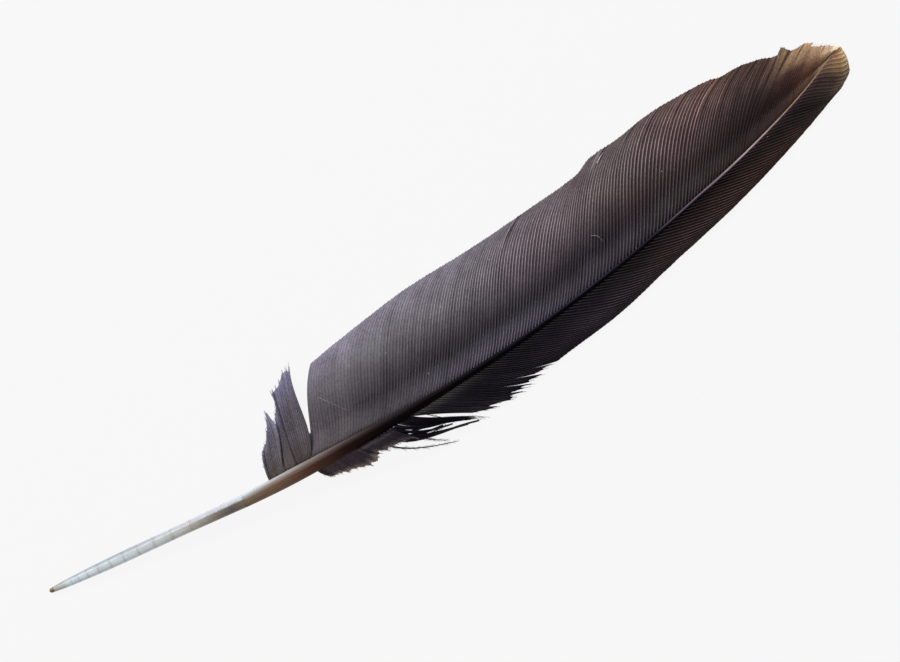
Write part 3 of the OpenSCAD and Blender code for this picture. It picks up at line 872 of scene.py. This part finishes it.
# %% Build the wide vane
WIDE_PARTS = [46.8, 60, 71, 80, 89, 97, 108, 119, 131.2, 134, 142, 152.3]
WIDE_SLITS = {10: [(4, 0.74)], 11: [(6, 0.8), (10, 0.86)]}
for n in range(1, len(WIDE_PARTS)):
    frayed = n == len(WIDE_PARTS) - 1
    last = WIDE_PARTS[n] + (0.4 if frayed else 0)
    panel = Panel(WIDE, 1, WIDE_PARTS[n - 1], last, "wide", ragged=0.05 if frayed else 0.008,
        web=0.95 if frayed else 0.995, waved=True)
    node_name = "wide_vane_%02d" % n
    web = piece("wide_web_%02d" % n, web_bmesh(panel, WIDE_SLITS.get(n, ())), WIDE_WEB, "root",
        [node_name])
    give_thickness(web, WEB_THICKNESS)
    piece("wide_barbs_%02d" % n, barbs_bmesh(panel), WIDE_BARB, "root", [node_name])
print("wide vane:", len(WIDE_PARTS) - 1, "panels")

# %% [markdown]
# ## The slim vane and its fringe
# The leading vane is narrow, stiff and almost black. Near the quill its tips have come
# apart into a fringe: six clumps whose tips draw together, with the web ending early so
# that single barbs stick out between white gaps.

# %% Build the slim vane
NARROW_PARTS = [75.8, 92, 108, 124, 139, 152.3]
for n in range(1, len(NARROW_PARTS)):
    last = NARROW_PARTS[n] + (0.5 if n == len(NARROW_PARTS) - 1 else 0)
    panel = Panel(NARROW, -1, NARROW_PARTS[n - 1], last, "narrow", ragged=0.008)
    node_name = "narrow_vane_%d" % n
    web = piece("narrow_web_%d" % n, web_bmesh(panel), NARROW_WEB, "root", [node_name])
    give_thickness(web, WEB_THICKNESS)
    piece("narrow_barbs_%d" % n, barbs_bmesh(panel, 2.4, 0.42), NARROW_BARB, "root",
        [node_name])
print("slim vane:", len(NARROW_PARTS) - 1, "panels")

# %% Build the fringe
FRINGE_PINCH = [0.08, 0.15, 0.25, 0.6, 0.7, 0.55]
FRINGE_PARTS = [63.5, 65.6, 67.6, 69.6, 71.6, 73.7, 75.8]
for n in range(1, len(FRINGE_PARTS)):
    spread = 0.12 if n < 4 else 0
    panel = Panel(NARROW, -1, FRINGE_PARTS[n - 1] - spread, FRINGE_PARTS[n] + spread, "narrow",
        ragged=0.17, web=0.95, pinch=FRINGE_PINCH[n - 1], thick=1.3, count=4)
    panel.pull = 1.8
    panel.gather = 8
    node_name = "fringe_clump_%d" % n
    web = piece("fringe_web_%d" % n, web_bmesh(panel), NARROW_WEB, "root", [node_name])
    give_thickness(web, WEB_THICKNESS)
    piece("fringe_barbs_%d" % n, barbs_bmesh(panel, 2.6, 0.5), NARROW_BARB, "root",
        [node_name])
print("fringe:", len(FRINGE_PARTS) - 1, "clumps")

# %% [markdown]
# ## Tuft, down and loose barbs
# Where the vane has come apart at the quill, clumps of soft barbs stand away from it. They
# swing at their roots, so a clump bends from the shaft, which holds its roots still, to
# the body that carries its tips: that is a blend between two bodies, and the whole clump
# has to be one mesh for it. Barbules that no longer hold on to anything stand off the
# barbs as short hairs.

# %% Build the clumps
# Each row: CAD node, table, first and last root station, pinch, lift, tints, body of the tips, barbs,
# ragged, web
CLUMPS = [["tuft_clump_1", TUFT, 39.1, 41.9, 0.0, 1, "tuft", "tuft_1", 11, 0.16, 0.94],
    ["tuft_clump_2", TUFT, 41.8, 44, 0.0, 0, "tuft", "tuft_2", 9, 0.14, 0.95],
    ["tuft_clump_3", TUFT, 43.9, 46.75, 0.0, 1, "tuft", "tuft_3", 12, 0.07, 0.96],
    ["down_clump_1", DOWN, 46.4, 53.6, 0.0, 0, "down", "root", 20, 0.22, 0.95],
    ["down_clump_2", DOWN, 53.2, 59.6, 0.1, 1.5, "down", "root", 16, 0.25, 0.92],
    ["black_strand", LOCK, 61.2, 63.7, 0.5, 1, "black", "black_barb", 8, 0.2, 0.9]]
HAIR_HALF = 0.028
# How many hairs stand on each side of a barb, and about how long the longest is
CLUMP_HAIRS, STRAND_HAIRS, GAP_HAIRS = (14, 0.7), (46, 0.9), (16, 0.6)


def add_hairs(bm, line, count, length, side, tone, start=0.2):
    """Barbules that stand off one side of a barb, slanted towards its tip. length is the longest."""
    for _ in range(count):
        w = random.uniform(start, 0.97)
        root = line(w)
        flow = (line(min(w + 0.02, 1)) - line(max(w - 0.02, 0))).normalized()
        square = Vector((-flow.y, flow.x, 0)) * side
        reach = length * random.uniform(0.5, 1) * (1.1 - 0.6 * w)
        out = (flow * random.uniform(0.7, 1.1) + square * random.uniform(0.35, 0.8)) * reach
        out.z += random.uniform(-0.1, 0.1) * reach

        def hair(s, root=root, out=out, flow=flow, reach=reach):
            return root + out * s + flow * reach * 0.35 * s * s

        add_rod(bm, HAIR, hair, lambda s: HAIR_HALF * (1 - 0.8 * s), lambda s, w=w: tone(w))


def clump(name, table, first, last, pinch, lift, tints, body, count, ragged, web):
    """A parted clump: web, barbs and standing hairs, in two meshes that bend together."""
    side = 1 if table is TUFT else -1
    panel = Panel(table, side, first, last, tints, ragged=ragged, web=web, pinch=pinch, lift=lift,
        thick=0.9, count=count)
    panel.pull = 1.2
    panel.tones_and_shade = [random.uniform(0.85, 1.3) for _ in range(count)]
    # The second barb of each clump is painted dark as shade, as if it lay in the first one's shadow.
    panel.tones_and_shade[1] = 0.45
    loose = tints == "black"
    slits = [(k + 0.5, random.uniform(0.55, 0.85)) for k in range(1, count - 1) if random.random() < 0.6]
    sheet = piece(name.replace("clump", "web").replace("strand", "web"), web_bmesh(panel, slits),
        DOWNY_WEB if not loose else NARROW_WEB, None, [name])
    give_thickness(sheet, WEB_THICKNESS)
    bm = barbs_bmesh(panel, 0.3, 0.55)
    for i in range(count):
        own = panel.line(i)

        def line(w, own=own, reach=panel.lengths[i]):
            return own(w * reach)

        for edge in (-1, 1):
            add_hairs(bm, line, *CLUMP_HAIRS, edge, lambda w, i=i: panel.tint(i, w, 1.1), 0.35)
    bmesh.ops.recalc_face_normals(bm, faces=bm.faces[:])
    barbs = piece(name.replace("clump", "barbs").replace("strand", "barbs"), bm,
        LOOSE_BARB if loose else DOWNY_BARB, None, [name])
    for made in (sheet, barbs):
        if body == "root":
            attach(made, "root")
        else:
            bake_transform(made, "root", body, start=placed(panel.middle(0)), end=placed(panel.middle(0.35)))


for row in CLUMPS:
    clump(*row)
print("clumps:", ", ".join(row[0] for row in CLUMPS))

# %% [markdown]
# Three single barbs have come free, and the two fine ones lie a layer below the other. They
# leave the shaft within 2.4 mm of each other, so they swing together.

# %% Build the loose barbs
# Each row: CAD node, root stations, lift in layers, half width at the root
HAIR_STRANDS = [["crossing_strand", [58.3], 0, 0.2], ["fine_strands", [56.6, 59], -1, 0.17]]
for name, roots, lift, width in HAIR_STRANDS:
    bm = new_bmesh()
    for root in roots:
        own = barb_line(STRANDS, root, -1, lift * LAYER_STEP)

        def shade(w, root=root):
            return [*tint(TINTS["black"], root, w, ACROSS_VANE), 1]

        add_rod(bm, ROD, own, lambda w, width=width: width * (1 - 0.82 * w), shade)
        for edge in (-1, 1):
            add_hairs(bm, own, *STRAND_HAIRS, edge, shade)
    bmesh.ops.recalc_face_normals(bm, faces=bm.faces[:])
    made = piece(name.replace("strand", "barb"), bm, LOOSE_BARB, None, [name])
    middle = barb_line(STRANDS, roots[0], -1, lift * LAYER_STEP)
    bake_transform(made, "root", "fine_barbs", start=placed(middle(0)), end=placed(middle(0.3)))
print("loose barbs:", sum(len(row[1]) for row in HAIR_STRANDS))

# %% [markdown]
# Short dark barbs cross in the gap between the down and the fringe, and a wisp of down
# stands at the root of the wide vane. Neither is in the CAD, and both stay with the shaft.

# %% Barbs that crossed into the gaps
# Each row: root station, tip station, tip side, tip height, root angle, tip angle
GAP_FILL = [[46.2, 48.2, -1.2, 2.7, 60, 66], [47.3, 49.2, -1.7, 2.7, 60, 64]]
GAP_BARBS = [[57.4, 65.2, -11.5, 1.9, -46, -25], [58, 72.4, -15.1, 1, -62, -22],
    [58.6, 67.2, -12.5, 1.5, -54, -8], [59.2, 70.6, -14.6, 1.1, -60, -20],
    [59.9, 68.6, -13.2, 1.3, -52, -14], [60.6, 68, -12.4, 1.3, -46, -16],
    [61.6, 71.4, -14.2, 1.1, -46, -30], [63.2, 66.8, -11.1, 1.9, -44, -48],
    [64.9, 70, -13.2, 1.5, -50, -36]]
panel = Panel(GAP_FILL, 1, 46.3, 47.2, "tuft", ragged=0.25, web=0.95, lift=-0.5, count=5)
web = piece("root_down_web", web_bmesh(panel), DOWNY_WEB, "root")
give_thickness(web, WEB_THICKNESS)
piece("root_down_barbs", barbs_bmesh(panel, 0.3, 0.5), DOWNY_BARB, "root")
LAST_GAP_ROOT = 64.89  # just inside the last row of the table
bm = new_bmesh()
for root in [row[0] for row in GAP_BARBS[:-1]] + [LAST_GAP_ROOT]:
    own = barb_line(GAP_BARBS, root, -1, -0.1)

    def shade(w, root=root):
        return [*tint(TINTS["black"], min(root, 64), w, ACROSS_VANE), 1]

    wide = random.uniform(0.26, 0.38) if root < 63 else 0.07
    add_rod(bm, ROD, own, lambda w, wide=wide: wide * (1 - 0.6 * w), shade)
    for edge in (-1, 1):
        add_hairs(bm, own, *GAP_HAIRS, edge, shade)
bmesh.ops.recalc_face_normals(bm, faces=bm.faces[:])
piece("gap_barbs", bm, LOOSE_BARB, "root")
print("gap barbs:", len(GAP_BARBS))

# %% [markdown]
# Three stray fibres lie on the wide vane, two thin ones and a thicker one. The thicker one
# is a curled piece at the vane's edge, and its pale colour is a painted highlight.

# %% Stray fibres that lie on the vane
# Each row: two ends and the point between them that the fibre bends towards, then its half width
STRAYS = [[(53.1, 2.1, 2.95), (54.4, -0.1, 2.95), (55.9, -2.3, 2.8), 0.035],
    [(103.6, -0.4, 3.1), (104.8, -0.9, 3.2), (104.6, -2.3, 3.05), 0.035],
    # The thicker third one is pale to paint the highlight of a curled piece at the vane's edge.
    [(110.8, 8.7, 1.15), (111.9, 9.5, 1), (112.7, 9.6, 0.9), 0.12]]
bm = new_bmesh()
for start, bend, stop, width in STRAYS:
    a, b, c = Vector(start), Vector(bend), Vector(stop)
    add_rod(bm, ROD, lambda w, a=a, b=b, c=c: (1 - w)**2 * a + 2 * (1 - w) * w * b + w * w * c,
        lambda w, width=width: width * (1 - 0.7 * w), lambda w: (1, 1, 1, 1))
bmesh.ops.recalc_face_normals(bm, faces=bm.faces[:])
piece("stray_fibres", bm, FIBRE_AND_GLINT, "root")
print("stray fibres:", len(STRAYS))

# %% [markdown]
# ## Stage, light and camera
# The feather lies back up on a plain white floor. One large soft lamp on the wide vane's
# side rakes across the barbs, so each one shows a light and a dark flank, and a weaker
# one opposite keeps the shaft from going flat. The camera looks straight down through a
# long lens, turned so that the quill points to the lower left.

# %% Floor, lights and camera
FLOOR_GREY, FLOOR_GLOW, GLOW_SHARE = 0.9, 0.928, 0.97
WORLD_LIGHT = 0.36


def floor_finish():
    made, tree, shader = finish_of("white_floor")
    shader.inputs["Base Color"].default_value = grey(FLOOR_GREY)
    shader.inputs["Roughness"].default_value = 0.9
    shader.inputs["Specular IOR Level"].default_value = 0.0
    glow = node(tree, "ShaderNodeEmission", {"Color": (1, 1, 1, 1), "Strength": FLOOR_GLOW})
    share = node(tree, "ShaderNodeMixShader", {0: GLOW_SHARE, 1: shader.outputs[0], 2: glow.outputs[0]})
    tree.links.new(share.outputs[0], tree.nodes["Material Output"].inputs[0])
    return made


bm = bmesh.new()
bmesh.ops.create_grid(bm, x_segments=1, y_segments=1, size=2)
mesh = bpy.data.meshes.new("floor")
bm.to_mesh(mesh)
bm.free()
mesh.materials.append(floor_finish())
floor = bpy.data.objects.new("floor", mesh)
bpy.context.scene.collection.objects.link(floor)


def lamp(name, where, size, power):
    data = bpy.data.lights.new(name, "AREA")
    data.size = size
    data.energy = power
    made = bpy.data.objects.new(name, data)
    made.location = where
    made.rotation_euler = (-Vector(where)).to_track_quat("-Z", "Y").to_euler()
    bpy.context.scene.collection.objects.link(made)


lamp("key_lamp", (-0.12, 0.5, 0.42), 0.35, 5.6)
lamp("fill_lamp", (0.25, -0.5, 0.5), 0.6, 1.2)
world = bpy.data.worlds.new("studio")
world.use_nodes = True
world.node_tree.nodes["Background"].inputs["Color"].default_value = (1, 1, 1, 1)
world.node_tree.nodes["Background"].inputs["Strength"].default_value = WORLD_LIGHT
bpy.context.scene.world = world
bpy.context.scene.view_settings.view_transform = "Standard"

FRAME_WIDTH = 0.144
CAMERA_HEIGHT = 1.2
CAMERA_OVER = Vector((-0.0004, 0.002, 0))
CAMERA_TURN = math.radians(-33.57)
camera_data = bpy.data.cameras.new("camera")
camera_data.sensor_width = 36
camera_data.lens = 36 * CAMERA_HEIGHT / FRAME_WIDTH
camera_data.clip_end = 10
camera = bpy.data.objects.new("camera", camera_data)
camera.location = CAMERA_OVER + Vector((0, 0, CAMERA_HEIGHT))
camera.rotation_euler = (0, 0, CAMERA_TURN)
bpy.context.scene.collection.objects.link(camera)
bpy.context.scene.camera = camera
print("camera: %.0f mm lens at %.1f m" % (camera_data.lens, CAMERA_HEIGHT))

# %% Sizes, and the end
print("faces in all:", sum(len(p.data.polygons) for p in PIECES))
